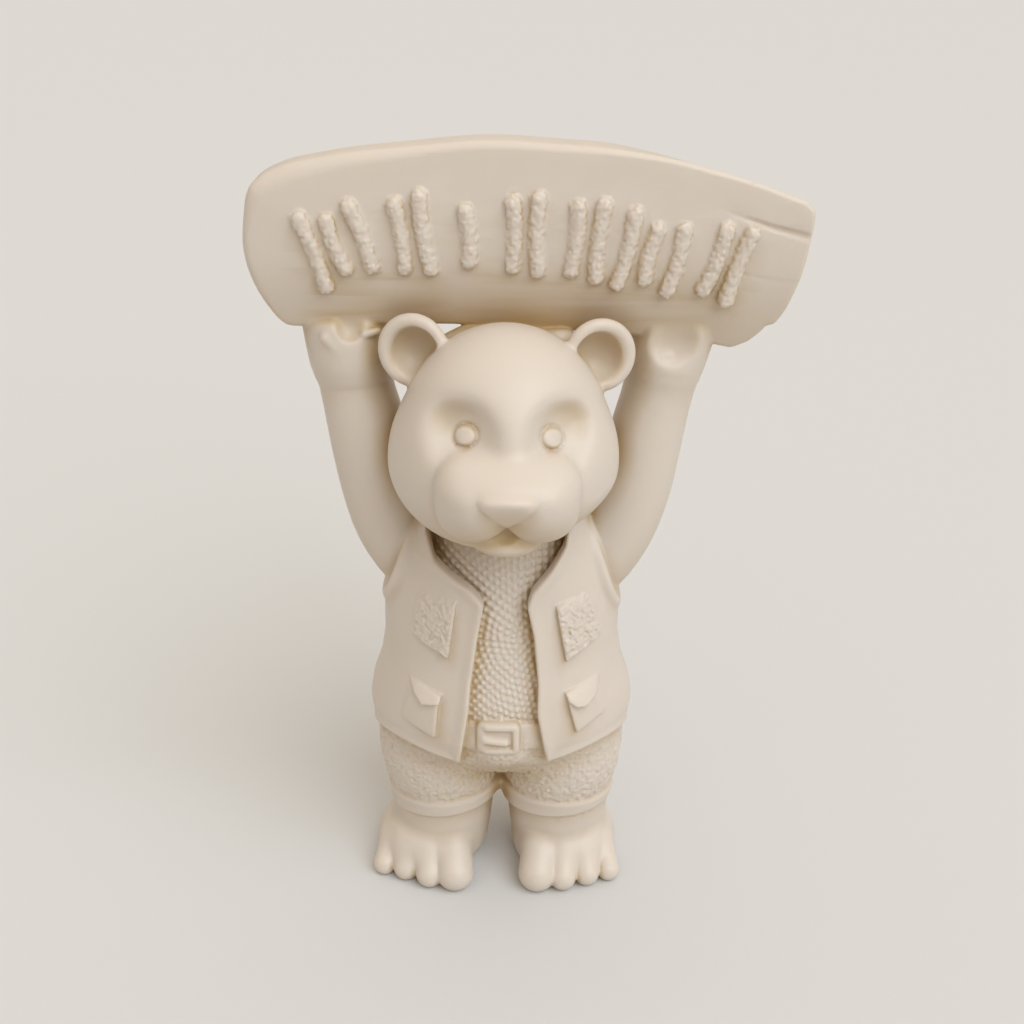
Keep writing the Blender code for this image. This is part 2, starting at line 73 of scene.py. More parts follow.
# Body under the clothes: height, half width, half depth, middle in Y.
BODY = (
    (37, 30.0, 18.0, 3.7), (43.5, 31.5, 19.6, 3.5), (48, 33.0, 23.2, 3.5), (56, 33.0, 25.0, 3.5),
    (66, 31.2, 24.2, 3.5), (78, 29.2, 22.2, 4.0), (90, 27.0, 20.5, 5.2), (96, 25.0, 19.0, 6.4),
    (101, 22.0, 17.2, 7.0), (108, 18.0, 14.8, 7.4), (116, 14.5, 12.2, 6.6), (126, 12.0, 11.0, 3.0),
)
BODY_FLOOR = 38.0
# Swelling under the belt, and what fills the fork of the legs: middle and radii.
BELLY = ((0.2, -8.0, 53.4), (13.0, 15.0, 10.0))
CROTCH = ((-0.3, 5.0, 40.0), (3.0, 6.0, 14.0))
BELT = (53.6, 62.0)
BELT_PROUD = 0.9
BELT_EDGE = 0.7
# Buckle: middle in X and Z, half sizes, radius of its corners, half width of its bars; how proud
# they stand, from where to where to the right and how much that is less; and its floor's height.
BUCKLE = (-0.5, 58.3)
BUCKLE_HALF = (5.6, 4.7)
BUCKLE_CORNER = 1.6
BUCKLE_BAR = 0.95
BUCKLE_PROUD = 1.9
BUCKLE_LOW_SIDE = (3.0, 5.0, 1.0)
BUCKLE_FLOOR = 0.7
# Prong: its ends from the buckle's middle, its radius, its height and how flat it is.
PRONG = ((-3.4, -0.2), (2.0, -0.9))
PRONG_RADIUS = 1.15
PRONG_PROUD = 0.4
PRONG_FLAT = 0.8

# Outside of the vest from the hem to the neck, in the terms of BODY.
VEST = (
    (46.5, 34.0, 25.4, 4.0), (50, 35.3, 26.6, 4.0), (56, 36.1, 27.3, 3.5), (62, 35.1, 27.1, 3.5),
    (69, 32.7, 26.4, 3.5), (77, 31.5, 25.0, 4.0), (84, 31.4, 23.9, 4.0), (91, 31.0, 22.9, 4.5),
    (99, 29.4, 21.5, 5.0), (106, 26.4, 19.6, 5.5), (112, 23.0, 17.5, 6.0), (118, 20.5, 15.0, 6.5),
)
VEST_WALL = 3.2
VEST_EDGE = 0.8
# Swollen rim along the front edges and the hem: height, share at the hem, how far it lies in from
# the edge, and its width at the front and at the hem.
VEST_LIP = 0.9
HEM_LIP_SHARE = 0.7
LIP_INSET = 0.6
LIP_WIDE = (1.7, 1.5)
# The hem's height at the sides and behind, how much higher it is in front, and its arch between.
HEM_HEIGHT = 46.5
HEM_RISE = 2.0
HEM_ARCH = 4.2
NECK_HEIGHT = 118.0

# Front edges of the vest: height and distance from the middle plane, on the right and the left.
RIGHT_EDGE = (
    (40, 10.4), (51, 10.4), (66, 8.3), (74, 7.7), (88, 5.8), (96, 4.3),
    (99.5, 7.6), (102, 12.4), (105, 17.0), (111, 19.2), (120, 18.6),
)
LEFT_EDGE = (
    (40, 12.2), (51, 12.2), (66, 9.6), (74, 9.7), (87.5, 8.4), (95.5, 6.6),
    (99, 7.8), (103.5, 12.3), (108.5, 16.1), (113, 16.8), (120, 17.0),
)
# Rims of the armholes: their highest and lowest point, half their depth and their radius.
ARMHOLES = (
    ((-22.2, 7.0, 111.5), (-30.6, 5.5, 87.6)),
    ((22.4, 7.0, 110.5), (30.6, 5.5, 85.6)),
)
ARMHOLE_REACH = 11.4
ARMHOLE_RIM = 1.4

# Patches and pockets on the vest: corners in X and Z, and on which side of the bear.
PATCHES = (
    (((-21.6, 97.8), (-11.2, 96.6), (-13.4, 80.8), (-23.6, 84.2)), -1),
    (((14.0, 94.8), (22.8, 97.6), (26.4, 83.0), (16.8, 79.4)), 1),
)
POCKETS = (
    (((-24.0, 71.0), (-15.8, 70.0), (-17.0, 57.4), (-26.4, 59.6)), -1),
    (((17.0, 70.4), (25.6, 71.6), (27.6, 61.0), (20.0, 58.4)), 1),
)
# How far both stand proud, at their inner and their outer side; and how they sink into the vest at
# their top: the share, and from where to where.
PLATE_PROUD = (1.7, 0.5)
PLATE_SINK = (0.9, -4.5, 1.0)
PLATE_EDGE = 0.9
# Smooth frame round a patch's wrinkles.
PATCH_FRAME = 0.8
# Pocket flaps: corners in X and Z.
FLAPS = (
    ((-24.0, 71.8), (-21.6, 71.9), (-15.2, 70.2), (-16.0, 68.3), (-20.6, 67.5), (-22.8, 69.2)),
    ((16.8, 70.8), (25.8, 72.4), (25.4, 68.6), (22.6, 66.8), (19.8, 67.2), (17.8, 68.8)),
)
# How far a flap stands proud at its top, and how much more at its lower end.
FLAP_PROUD = (0.3, 3.0)
FLAP_EDGE = 0.6

# Arms: X, Y, Z and radius of each station from the shoulder to the paw.
RIGHT_ARM = (
    (-16.0, 6.0, 90, 9.0), (-23.0, 6.5, 97, 9.8), (-28.6, 7.0, 107, 10.2), (-32.0, 7.8, 119, 10.2),
    (-34.4, 8.8, 132, 10.1), (-37.3, 10.0, 146, 9.3), (-37.9, 10.6, 153, 10.9),
    (-39.1, 11.4, 162, 11.0),
)
LEFT_ARM = (
    (16.0, 6.0, 90, 9.0), (24.0, 6.5, 96, 9.8), (30.0, 7.0, 106, 10.0), (33.9, 7.8, 118, 9.9),
    (36.4, 8.8, 131, 9.5), (39.3, 10.0, 145, 8.9), (40.6, 10.6, 153, 10.1), (42.4, 11.4, 161, 10.4),
)
PAW_TOP = 165.0
# Palms, hollowed under the board: middle and radii; and the scars in them, in the terms of an arm.
PALMS = (((-37.0, 0.5, 163.5), (3.2, 3.0, 3.6)), ((41.6, 0.0, 160.6), (7.4, 4.2, 6.4)))
NUBS = (
    ((-43.0, 1.6, 160.4, 1.5), (-40.6, 1.2, 157.6, 1.1)),
    ((-33.4, 2.0, 161.4, 1.1), (-30.6, 2.4, 162.0, 1.0)),
    ((39.0, 3.2, 155.8, 1.1), (40.4, 3.4, 156.2, 0.9)),
)

# Head: how it leans and turns, in degrees, and round which point.
HEAD_TURN = (0.0, 2.0, 3.3)
HEAD_PIVOT = (0.0, -8.0, 134.0)
# Forms of the head: middle, radii and the height of the lower half where that is another.
SKULL = ((0.2, -9.5, 134.0), (28.2, 27.5, 33.5), 20.6)
# How far the skull's lower half lies to the right, how much narrower it is, and how far down it
# is so in full.
JAW = (2.1, 0.07, 18.0)
# Narrower part at the temples: height, reach and share.
TEMPLES = (151.0, 8.0, 0.04)
LOBES = ((-6.8, -32.6, 137.4), (6.5, -32.6, 137.4))
LOBE_RADII = (9.4, 10.8, 7.0)
LOBE_DROP = 12.2
BRIDGE = ((-0.2, -29.5, 138.2), (9.0, 14.0, 7.8))
BRIDGE_FLOOR = 134.0
# The muzzle behind the lobes: middle, half sizes and how round its edges are.
MUZZLE = ((0.2, -25.6, 134.9), (16.5, 13.0, 10.3), 7.0)
CHIN = ((0.0, -29.5, 124.6), (9.5, 9.5, 4.6), 4.6)
NOSE = ((-0.5, -40.0, 139.1), (7.9, 7.0, 3.0), 9.0)
# The nose's flat front: Y and Z of a point on it, and the way it faces; and the flanks that run
# down to its tip: X and Z of the tip, and the way they face, outward and up.
NOSE_FRONT = ((-46.7, 140.5), (-0.87, -0.49))
NOSE_FLANKS = ((-0.5, 131.5), (0.686, -0.727))
# The mouth's notch, and the slopes that close it upward: height of the top and the way they face.
MOUTH = ((-0.4, -40.3, 128.5), (4.6, 3.9, 3.0))
MOUTH_SLOPES = (131.0, (0.72, 0.69))
# Hollows round the eyes: X of the right and the left one, height and depth, and how far they reach
# towards the nose, outward, up and down; and from where to where forward they come in.
SOCKETS = ((-9.6, 10.8), 148.8, 4.9)
SOCKET_REACH = (6.2, 7.8, 6.8, 8.0)
SOCKET_START = (-12.0, 10.0)
# Eyes: X and Z of the right and the left one, their lean and each one's turn in degrees, and radii;
# depth and relative width of the groove round them, and height of the dome.
EYES = ((-9.9, 147.8), (10.0, 147.7))
EYE_TURN = (-25.0, (-19.0, 12.0))
EYE_RADII = (3.0, 2.7)
EYE_GROOVE = (0.6, 0.18)
EYE_DOME = 1.15

# Ridges that join the ears to the crown and the board, in the terms of an arm.
SADDLES = (
    (
        (-19.0, 1.5, 155.2, 4.8), (-13.0, 3.0, 156.2, 4.8),
        (-9.2, 3.6, 158.0, 4.8), (-5.0, 4.0, 157.8, 5.0),
    ),
    ((19.2, 1.5, 155.2, 5.2), (14.2, 1.5, 157.8, 5.4), (6.0, 3.6, 157.0, 5.0)),
)

# Ears: X, Y, Z of the cup's middle and the turn of its axis outward, in degrees.
EARS = ((-21.5, -4.0, 159.6, -14.0), (23.2, -4.0, 158.8, 14.0))
EAR_LEAN = -6.0
EAR_RADII = (7.15, 7.35)
EAR_RIM = 1.7
# The back of an ear: how far behind the rim's plane its middle lies, and its depth.
EAR_BACK = (2.0, 4.6)
# Hollow of an ear: how far it lies towards the head, in front and above, and its radii.
EAR_HOLLOW = ((0.7, -1.6, -0.2), (5.9, 5.8, 6.2))

# Legs: X and Y of the middle, and the radius by height.
LEG_X = 16.6
LEG_Y = 3.5
LEG = (
    (8.0, 13.2), (14.0, 14.0), (20.0, 14.5), (29.0, 14.9), (34.5, 16.5), (41.0, 17.3), (46.5, 16.6),
)
# Right and left cuff: height at the leg's middle, rise outward and rise forward, of its lower edge
# and of its top.
CUFFS = (
    ((21.4, -0.1, 0.065), (28.2, -0.07, 0.0)),
    ((20.9, 0.05, 0.124), (27.3, -0.05, 0.09)),
)
CUFF_X = (-15.9, 16.2)
CUFF_RADIUS = 15.8
# Light rim under the top: height, how far down it lies and its width.
CUFF_RIM = (0.5, 1.4, 1.5)
CUFF_EDGE = 0.9
# Feet: X of the right and the left one; middle and radii of the heel and the instep, and the root,
# the tip and the radius of each toe, all with X outward from there.
FOOT_X = (20.7, 18.8)
FOOT = ((0.0, 4.5, 3.5), (15.2, 15.5, 12.2))
INSTEP = ((-0.5, -2.2, 7.0), (13.0, 11.0, 9.6))
TOES = (
    ((-6.8, -5.0, 11.2), (-8.0, -14.2, 4.4), 5.35),
    ((-0.4, -5.6, 11.6), (-0.8, -14.7, 3.6), 3.95),
    ((5.8, -4.8, 10.8), (6.1, -12.9, 3.2), 3.65),
    ((10.4, -3.0, 7.8), (12.4, -10.9, 2.8), 3.3),
)
# How much further back the outermost toe stands, on the right and the left foot, and over which
# span outward that comes in.
TOE_SWEEP = (1.9, 0.3)
TOE_SPAN = (-7.0, 8.0)

# Board: outline from the lower corner at the right, clockwise as seen from in front.
BOARD = (
    (-50.4, 161.6), (-53.1, 161.9), (-55.4, 164.4), (-58.9, 170.6), (-60.9, 176.5), (-61.8, 182.5),
    (-61.2, 189.0), (-60.6, 193.8), (-59.4, 196.8), (-56.4, 199.4), (-50.4, 202.0), (-36.3, 204.8),
    (-22.2, 206.3), (-8.0, 207.9), (1.1, 208.0), (10.5, 207.4), (24.5, 206.6), (38.7, 204.6),
    (56.3, 200.0), (65.8, 196.6), (70.6, 194.8), (72.6, 192.2), (72.0, 186.0), (70.8, 177.0),
    (68.0, 167.8), (65.8, 163.8), (63.8, 163.4), (63.1, 162.0), (60.4, 158.8), (56.2, 156.5),
    (48.0, 158.6), (35.8, 159.8), (4.0, 162.4), (-14.0, 163.0), (-25.2, 162.4),
)
BOARD_FRONT = 1.0
BOARD_BACK = 13.0
# How far the face swells forward, and how far in from the edge it does so in full.
BOARD_CROWN = (1.0, 22.0)
# How the face leans back towards the top edge and curves under towards the lower one.
BOARD_LEAN = ((184.0, 206.0, 1.2), (183.0, 160.0, 4.2))
# How far the face is rounded in from the edge: X, along the top edge, along the rest; and between
# which heights the one passes into the other.
BOARD_BEVEL = (
    (-62, 3.4, 2.6), (-54, 4.4, 1.8), (-40, 3.4, 1.6), (-24, 2.6, 1.4), (-8, 2.0, 1.2),
    (12, 1.8, 1.2), (31, 1.5, 1.2), (54, 1.3, 1.2), (72, 1.2, 1.2),
)
BOARD_TOP_BEVEL = (184.0, 194.0)
BOARD_BACK_BEVEL = 1.6
# How much the top edge falls to the back, along X; behind which Y, and between which heights.
BOARD_FALL = ((-61, 0.05), (5, 0.06), (25, 0.08), (39, 0.19), (48, 0.24), (56, 0.26))
BOARD_FALL_START = 2.0
BOARD_FALL_TOP = (184.0, 192.0)

# Splits in the board: X and Z of the stations from the mouth to the tip, and the width at the
# mouth; what is left of it at the tip, and how far they lie in front of the face's edge.
SPLITS = (
    (((73.0, 186.2), (62.4, 189.1), (53.1, 192.3), (46.6, 194.8)), 1.2),
    (((70.5, 175.2), (62.7, 176.3), (55.4, 178.0)), 1.0),
    (((60.0, 164.0), (56.4, 164.6)), 0.6),
    (((-62.6, 189.0), (-59.0, 188.2)), 1.3),
    (((-62.4, 182.4), (-57.2, 181.0)), 0.7),
    (((-60.4, 171.6), (-57.4, 172.4)), 1.1),
)
SPLIT_TIP = 0.2
SPLIT_FRONT = 0.5

# Raised strokes on the board, in groups: X and Z of the middle, lean in degrees and how many.
STROKE_GROUPS = (
    (-39.2, 184.0, -19.0, 3), (-21.4, 186.6, -8.0, 2), (-8.6, 186.4, -5.0, 1), (5.0, 186.8, 0.0, 2),
    (19.4, 185.6, 5.0, 2), (34.4, 182.4, 12.0, 3), (52.4, 180.4, 17.0, 2),
)
STROKE_LENGTHS = (21.0, 16.0, 19.0)
STROKE_GAP = 6.0
STROKE_BOW = 0.5
STROKE_RADIUS = 1.95
STROKE_PROUD = 1.6
# Share of the face's swelling that the strokes follow.
STROKE_CROWN = 0.8

# Textures: how far from the smooth surface they reach, the distance between their bumps, how high
# the bumps stand, how much of that lies under the smooth surface, and the seeds of their places.
RELIEF_REACH = 2.0
# Pebbles: where in its cell a bump's middle may lie, and the square of its radius in cells.
PEBBLE_PLACE = (0.15, 0.7)
PEBBLE_REACH = 0.55
# Knitting: middle of the arcs, distance of rows and of stitches; how uneven the rows are, and the
# two waves of that; each row's shift along; the height between two stitches and above that.
KNIT_CENTRE = (9.6, 86.0)
KNIT_PITCH = (1.8, 1.75)
KNIT_WAVE = (0.15, 0.9, 1.0, 0.7)
KNIT_SHIFT = 0.37
KNIT_GROOVE = (0.05, 0.95)
KNIT_HIGH = 0.85
KNIT_SUNK = 0.3
KNIT_TOP = 122.0
KNIT_HALF = 22.0
FUR_PITCH = 1.25
FUR_HIGH = 0.6
FUR_FLOOR = 22.0
FUR_SEED = 3
# Wrinkles: how far and how often they wave in X and in Z, and how much they are drawn out.
WRINKLE_BEND = ((0.8, 1.1), (0.6, 1.4))
WRINKLE_STRETCH = (1.0, 0.6, 0.75)
WRINKLE_PITCH = 1.05
WRINKLE_HIGH = 0.9
WRINKLE_SUNK = 0.5
WRINKLE_SEED = 5
ROUGH_PITCH = 1.2
ROUGH_HIGH = 0.55
ROUGH_SUNK = 0.4
ROUGH_SEED = 11

# How soft the creases are where forms meet, and the edges where forms are cut.
SOFT = {
    "body floor": 9.0, "leg": 3.0, "crotch": 2.0, "belly": 0.8, "belt": 0.3, "vest": 0.3,
    "neck": 1.0, "armhole": 1.6, "patch": 0.3, "pocket": 0.8, "flap": 0.6,
    "buckle bars": 0.8, "buckle floor": 0.5, "buckle": 0.8, "prong": 0.6,
    "arms": 0.8, "palm": 1.4, "nub": 0.8, "paw top": 3.5,
    "head": 1.2, "bridge floor": 2.0, "bridge": 4.0, "muzzle": 3.0, "chin": 0.8,
    "mouth": 0.35, "mouth top": 0.3, "nose front": 1.4, "nose flank": 1.1,
    "ears": 1.2, "saddle": 2.0, "ear cup": 1.0, "ear": 1.2, "ear hollow": 0.7,
    "cuff web": 3.4, "cuffs": 0.5, "foot": 1.5, "instep": 4.0, "toe": 0.5, "toes": 2.3,
    "board": 0.8, "split": 0.4, "strokes": 0.7,
}
# Creases that change with the height: the softness below, what is added, and from where to where.
LOBE_CREASE = (0.5, 3.0, 131.0, 137.0)
MUZZLE_CREASE = (0.8, 1.2, 138.0, 146.0)
NOSE_CREASE = (0.5, 2.0, 140.0, 143.0)

# How recessed a point is and how sheltered from above, which the material paints as ochre shade:
# reaches of the looks outward, their shares, and how far they look up.
PAINTED_SHADE_LOOKS = (
    (1.0, 0.1, 0.0), (2.5, 0.15, 0.0), (5.0, 0.15, 0.0), (9.0, 0.1, 0.0),
    (4.0, 0.3, 0.85), (10.0, 0.3, 0.85),
)

# Meshing: voxel, the triangles that are left on the piece, and the room left round the CAD box.
VOXEL = 0.4
TRIANGLES = 196_000
MARGIN = 2.0


# -------- distances and how they combine

def blend(a, b, soft):
    """Union of two distances with a soft crease."""
    overlap = np.maximum(soft - np.abs(a - b), 0.0) / soft
    return np.minimum(a, b) - overlap * overlap * soft / 4


def meet(a, b, soft):
    """What two forms have in common, with a soft edge."""
    return -blend(-a, -b, soft)


def cut(a, b, soft):
    """The first form with the second one taken away, with a soft edge."""
    return meet(a, -b, soft)


def round_meet(a, b, radius):
    """What two forms have in common, with an edge rounded to a radius."""
    u = np.maximum(a + radius, 0.0)
    v = np.maximum(b + radius, 0.0)
    return np.minimum(np.maximum(a, b), -radius) + np.hypot(u, v)


def bell(value, width):
    """A smooth hump of height 1 at 0."""
    return np.exp(-(value / width) ** 2)


def step(low, high, value):
    """0 below low, 1 above high, and smooth between."""
    share = np.clip((value - low) / (high - low), 0.0, 1.0)
    return share * share * (3 - 2 * share)


def crease(z, terms):
    """A softness that changes with the height."""
    least, more, low, high = terms
    return least + more * step(low, high, z)


def length(q):
    """The length of each row."""
    return np.sqrt(np.einsum("ij,ij->i", q, q))


def near(points, low, high, form, reach=6.0):
    """A form's distance in its box and within reach of it, and FAR elsewhere."""
    low = np.array(low) - reach
    high = np.array(high) + reach
    inside = np.all((points > low) & (points < high), axis=1)
    distance = np.full(len(points), FAR, np.float32)
    if inside.any():
        distance[inside] = form(points[inside])
    return distance


def ball(points, middle, radii, lower=None):
    """A ball stretched to its radii; its lower half may have a height of its own."""
    q = points - np.float32(middle)
    r = np.tile(np.float32(radii), (len(q), 1))
    if lower is not None:
        r[q[:, 2] < 0, 2] = lower
    q = q / r
    size = length(q)
    return size * (size - 1) / np.maximum(length(q / r), 1e-4)


def pipe(points, stations):
    """A round tube along stations of X, Y, Z and radius."""
    stations = np.float32(stations)
    reach = float(stations[:, 3].max())
    low = stations[:, :3].min(axis=0) - reach
    high = stations[:, :3].max(axis=0) + reach

    def form(q):
        distance = np.full(len(q), FAR, np.float32)
        for start, end in zip(stations, stations[1:]):
            along = end[:3] - start[:3]
            share = np.clip((q - start[:3]) @ along / (along @ along), 0.0, 1.0)
            radius = start[3] + (end[3] - start[3]) * share
            away = length(q - start[:3] - share[:, None] * along) - radius
            distance = np.minimum(distance, away)
        return distance

    return near(points, low, high, form)


def curve(stations, steps=3):
    """Stations set closer together on a smooth curve through the given ones."""
    rows = np.array([stations[0], *stations, stations[-1]], float)
    made = []
    for a, b, c, d in zip(rows, rows[1:], rows[2:], rows[3:]):
        for t in np.arange(steps) / steps:
            made.append(0.5 * (2 * b + (c - a) * t + (2 * a - 5 * b + 4 * c - d) * t**2
                               + (3 * b - a - 3 * c + d) * t**3))
    return made + [rows[-1]]


def profile(stations, soft=2.0):
    """The values of a table of stations as a smooth function of height."""
    table = np.array(stations, float)
    spacing = 0.25
    heights = np.arange(-10.0, 230.0, spacing)
    half = int(soft / spacing)
    kernel = np.hanning(2 * half + 3)[1:-1]
    columns = []
    for values in table[:, 1:].T:
        padded = np.pad(np.interp(heights, table[:, 0], values), half, mode="edge")
        columns.append(np.convolve(padded, kernel / kernel.sum(), mode="valid"))
    return lambda z: [np.interp(z, heights, column).astype(np.float32) for column in columns]


def column(points, levels, grow=0.0):
    """An upright body with elliptical levels, given by a profile."""
    wide, deep, middle = levels(points[:, 2])
    wide = wide + grow
    deep = deep + grow
    x = points[:, 0] / wide
    y = (points[:, 1] - middle) / deep
    size = np.hypot(x, y)
    return size * (size - 1) / np.maximum(np.hypot(x / wide, y / deep), 1e-4)


def stretch(x, z, start, end):
    """Distance to a straight stretch between two points in X and Z."""
    (ax, az), (bx, bz) = start, end
    ex, ez = bx - ax, bz - az
    share = np.clip(((x - ax) * ex + (z - az) * ez) / (ex * ex + ez * ez), 0.0, 1.0)
    return np.hypot(x - ax - share * ex, z - az - share * ez)


def polygon(x, z, corners):
    """Distance to a closed outline in X and Z."""
    corners = np.float32(corners)
    away = np.full(len(x), FAR, np.float32)
    inside = np.zeros(len(x), bool)
    for (ax, az), (bx, bz) in zip(corners, np.roll(corners, -1, axis=0)):
        away = np.minimum(away, stretch(x, z, (ax, az), (bx, bz)))
        if az != bz:
            crossed = (az > z) != (bz > z)
            inside ^= crossed & (x < (bx - ax) * (z - az) / (bz - az) + ax)
    return np.where(inside, -away, away)


def rounded(corners, gentle=5.0, sharp=1.2, turn=0.35):
    """An outline with its corners rounded: widely where they turn gently, tightly elsewhere."""
    corners = np.array(corners, float)
    made = []
    neighbours = zip(np.roll(corners, 1, axis=0), corners, np.roll(corners, -1, axis=0))
    for before, corner, after in neighbours:
        back, ahead = before - corner, after - corner
        back_length, ahead_length = np.linalg.norm(back), np.linalg.norm(ahead)
        bend = math.pi - math.acos(np.clip(back @ ahead / (back_length * ahead_length), -1, 1))
        reach = min(gentle if bend < turn else sharp, 0.45 * back_length, 0.45 * ahead_length)
        start = corner + back / back_length * reach
        end = corner + ahead / ahead_length * reach
        for t in (0.0, 0.33, 0.67, 1.0):
            made.append((1 - t) ** 2 * start + 2 * t * (1 - t) * corner + t * t * end)
    return made


# -------- textures

def scatter(cells, seed):
    """A random number from 0 to 1 for each whole-numbered cell, from a hash of its numbers."""
    mix = cells[:, 0] * 73856093 ^ cells[:, 1] * 19349663 ^ cells[:, 2] * 83492791
    mix = mix ^ seed * 2654435761
    mix = (mix ^ (mix >> 13)) * 1274126177 & 0x7FFFFFFF
    mix = (mix ^ (mix >> 16)) * 2246822519 & 0x7FFFFFFF
    return (mix & 0xFFFF).astype(np.float32) / 0xFFFF


def pebbles(points, pitch, seed):
    """Rounded bumps of uneven places, from 0 between them to 1 on top."""
    least, spread = PEBBLE_PLACE
    q = points / np.float32(pitch)
    cells = np.floor(q).astype(np.int64)
    closest = np.full(len(q), 4.0, np.float32)
    for dx in (-1, 0, 1):
        for dy in (-1, 0, 1):
            for dz in (-1, 0, 1):
                cell = cells + (dx, dy, dz)
                away = np.zeros(len(q), np.float32)
                for axis in range(3):
                    centre = cell[:, axis] + least + spread * scatter(cell, seed + axis)
                    away += (q[:, axis] - centre) ** 2
                closest = np.minimum(closest, away)
    return np.clip(1 - closest / PEBBLE_REACH, 0.0, 1.0)


def knitting(x, z):
    """Rows of stitches on arcs round a centre, from 0 between them to 1 on top."""
    dx, dz = x - KNIT_CENTRE[0], z - KNIT_CENTRE[1]
    across, along = KNIT_PITCH
    uneven, wave_x, start_x, wave_z = KNIT_WAVE
    wave = uneven * np.sin(dx * wave_x + start_x) * np.sin(dz * wave_z)
    ring = np.hypot(dx, dz) / across + wave
    row = np.floor(ring)
    around = np.arctan2(dz, dx) * np.maximum(row + 0.5, 1.0) * across / along + KNIT_SHIFT * row
    high_row = np.sin(np.pi * (ring - row))
    high_stitch = 0.5 - 0.5 * np.cos(2 * np.pi * around)
    return high_row * (KNIT_GROOVE[0] + KNIT_GROOVE[1] * high_stitch)


def wrinkles(points, seed):
    """Short wavy ridges, from 0 to 1."""
    (bend_x, wave_z), (bend_z, wave_x) = WRINKLE_BEND
    bent = points.copy()
    bent[:, 0] += bend_x * np.sin(points[:, 2] * wave_z + seed)
    bent[:, 2] += bend_z * np.sin(points[:, 0] * wave_x + 2 * seed)
    return pebbles(bent * np.float32(WRINKLE_STRETCH), WRINKLE_PITCH, seed)


# -------- the statue, form by form

BODY_LEVELS = profile(BODY)
VEST_LEVELS = profile(VEST)
RIGHT_EDGE_LEVELS = profile(RIGHT_EDGE, 0.8)
LEFT_EDGE_LEVELS = profile(LEFT_EDGE, 0.8)
BOARD_OUTLINE = rounded(BOARD)


def trunk(points, fine):
    """Body, legs and trousers, knitted between the vest's edges and furry below the belt."""
    x, y, z = points.T
    distance = meet(column(points, BODY_LEVELS), BODY_FLOOR - z, SOFT["body floor"])
    for side in (-1, 1):
        stations = [(side * LEG_X, LEG_Y, height, radius) for height, radius in LEG]
        distance = blend(distance, pipe(points, curve(stations)), SOFT["leg"])
    distance = blend(distance, ball(points, *CROTCH), SOFT["crotch"])
    distance = blend(distance, ball(points, *BELLY), SOFT["belly"])
    if fine:
        skin = np.abs(distance) < RELIEF_REACH
        knit = skin & (z > BELT[0]) & (z < KNIT_TOP) & (y < 0) & (np.abs(x) < KNIT_HALF)
        distance[knit] -= KNIT_HIGH * (knitting(x[knit], z[knit]) - KNIT_SUNK)
        fur = skin & (z < BELT[1]) & (z > FUR_FLOOR)
        distance[fur] -= FUR_HIGH * pebbles(points[fur], FUR_PITCH, FUR_SEED)
    return distance


def edge_distance(x, z, levels, side):
    """How far a point lies beyond a front edge of the vest, towards the opening."""
    reach = 0.25
    ahead = levels(z + reach)[0]
    behind = levels(z - reach)[0]
    slope = (ahead - behind) / (2 * reach)
    return (side * x + (ahead + behind) / 2) / np.sqrt(1 + slope * slope)


def vest(points, fine):
    """The open vest, with its rolled edges, armholes, patches and pockets."""
    x, y, z = points.T
    middle = VEST_LEVELS(z)[2]
    outer = column(points, VEST_LEVELS)
    opening = np.minimum(
        edge_distance(x, z, RIGHT_EDGE_LEVELS, 1),
        edge_distance(x, z, LEFT_EDGE_LEVELS, -1),
    )
    opening = np.where(y < middle, opening, -FAR)
    facing = np.maximum(0.0, (middle - y) / np.maximum(np.hypot(x, y - middle), 1.0))
    hem = HEM_HEIGHT + HEM_RISE * facing + HEM_ARCH * np.sin(math.pi * facing) - z
    front_lip = bell(opening + LIP_INSET, LIP_WIDE[0])
    hem_lip = HEM_LIP_SHARE * bell(hem + LIP_INSET, LIP_WIDE[1])
    lip = VEST_LIP * np.maximum(front_lip, hem_lip)
    distance = round_meet(outer - lip, opening, VEST_EDGE)
    distance = round_meet(distance, hem, VEST_EDGE)
    distance = meet(distance, z - NECK_HEIGHT, SOFT["neck"])
    distance = np.maximum(distance, -outer - VEST_WALL)
    for armhole in ARMHOLES:
        distance = blend(distance, pipe(points, armhole_ring(*armhole)), SOFT["armhole"])
    for plates, soft, wrinkled in ((PATCHES, "patch", fine), (POCKETS, "pocket", False)):
        for corners, side in plates:
            distance = blend(distance, plate(points, corners, side, wrinkled), SOFT[soft])
    for corners in FLAPS:
        distance = blend(distance, flap(points, corners), SOFT["flap"])
    return distance


def armhole_ring(top, bottom):
    """Stations round an armhole's rim, in the terms of an arm."""
    top, bottom = np.array(top), np.array(bottom)
    centre, half = (top + bottom) / 2, (top - bottom) / 2
    made = []
    for angle in np.linspace(0, 2 * math.pi, 33):
        spot = centre + half * math.cos(angle) + (0, ARMHOLE_REACH * math.sin(angle), 0)
        made.append((*spot, ARMHOLE_RIM))
    return made


def in_front(points, corners, form):
    """A form on the bear's front, worked out close to the box of its corners alone."""
    front, back, reach = -40, 0, 3.0
    xs, zs = zip(*corners)
    return near(points, (min(xs), front, min(zs)), (max(xs), back, max(zs)), form, reach)


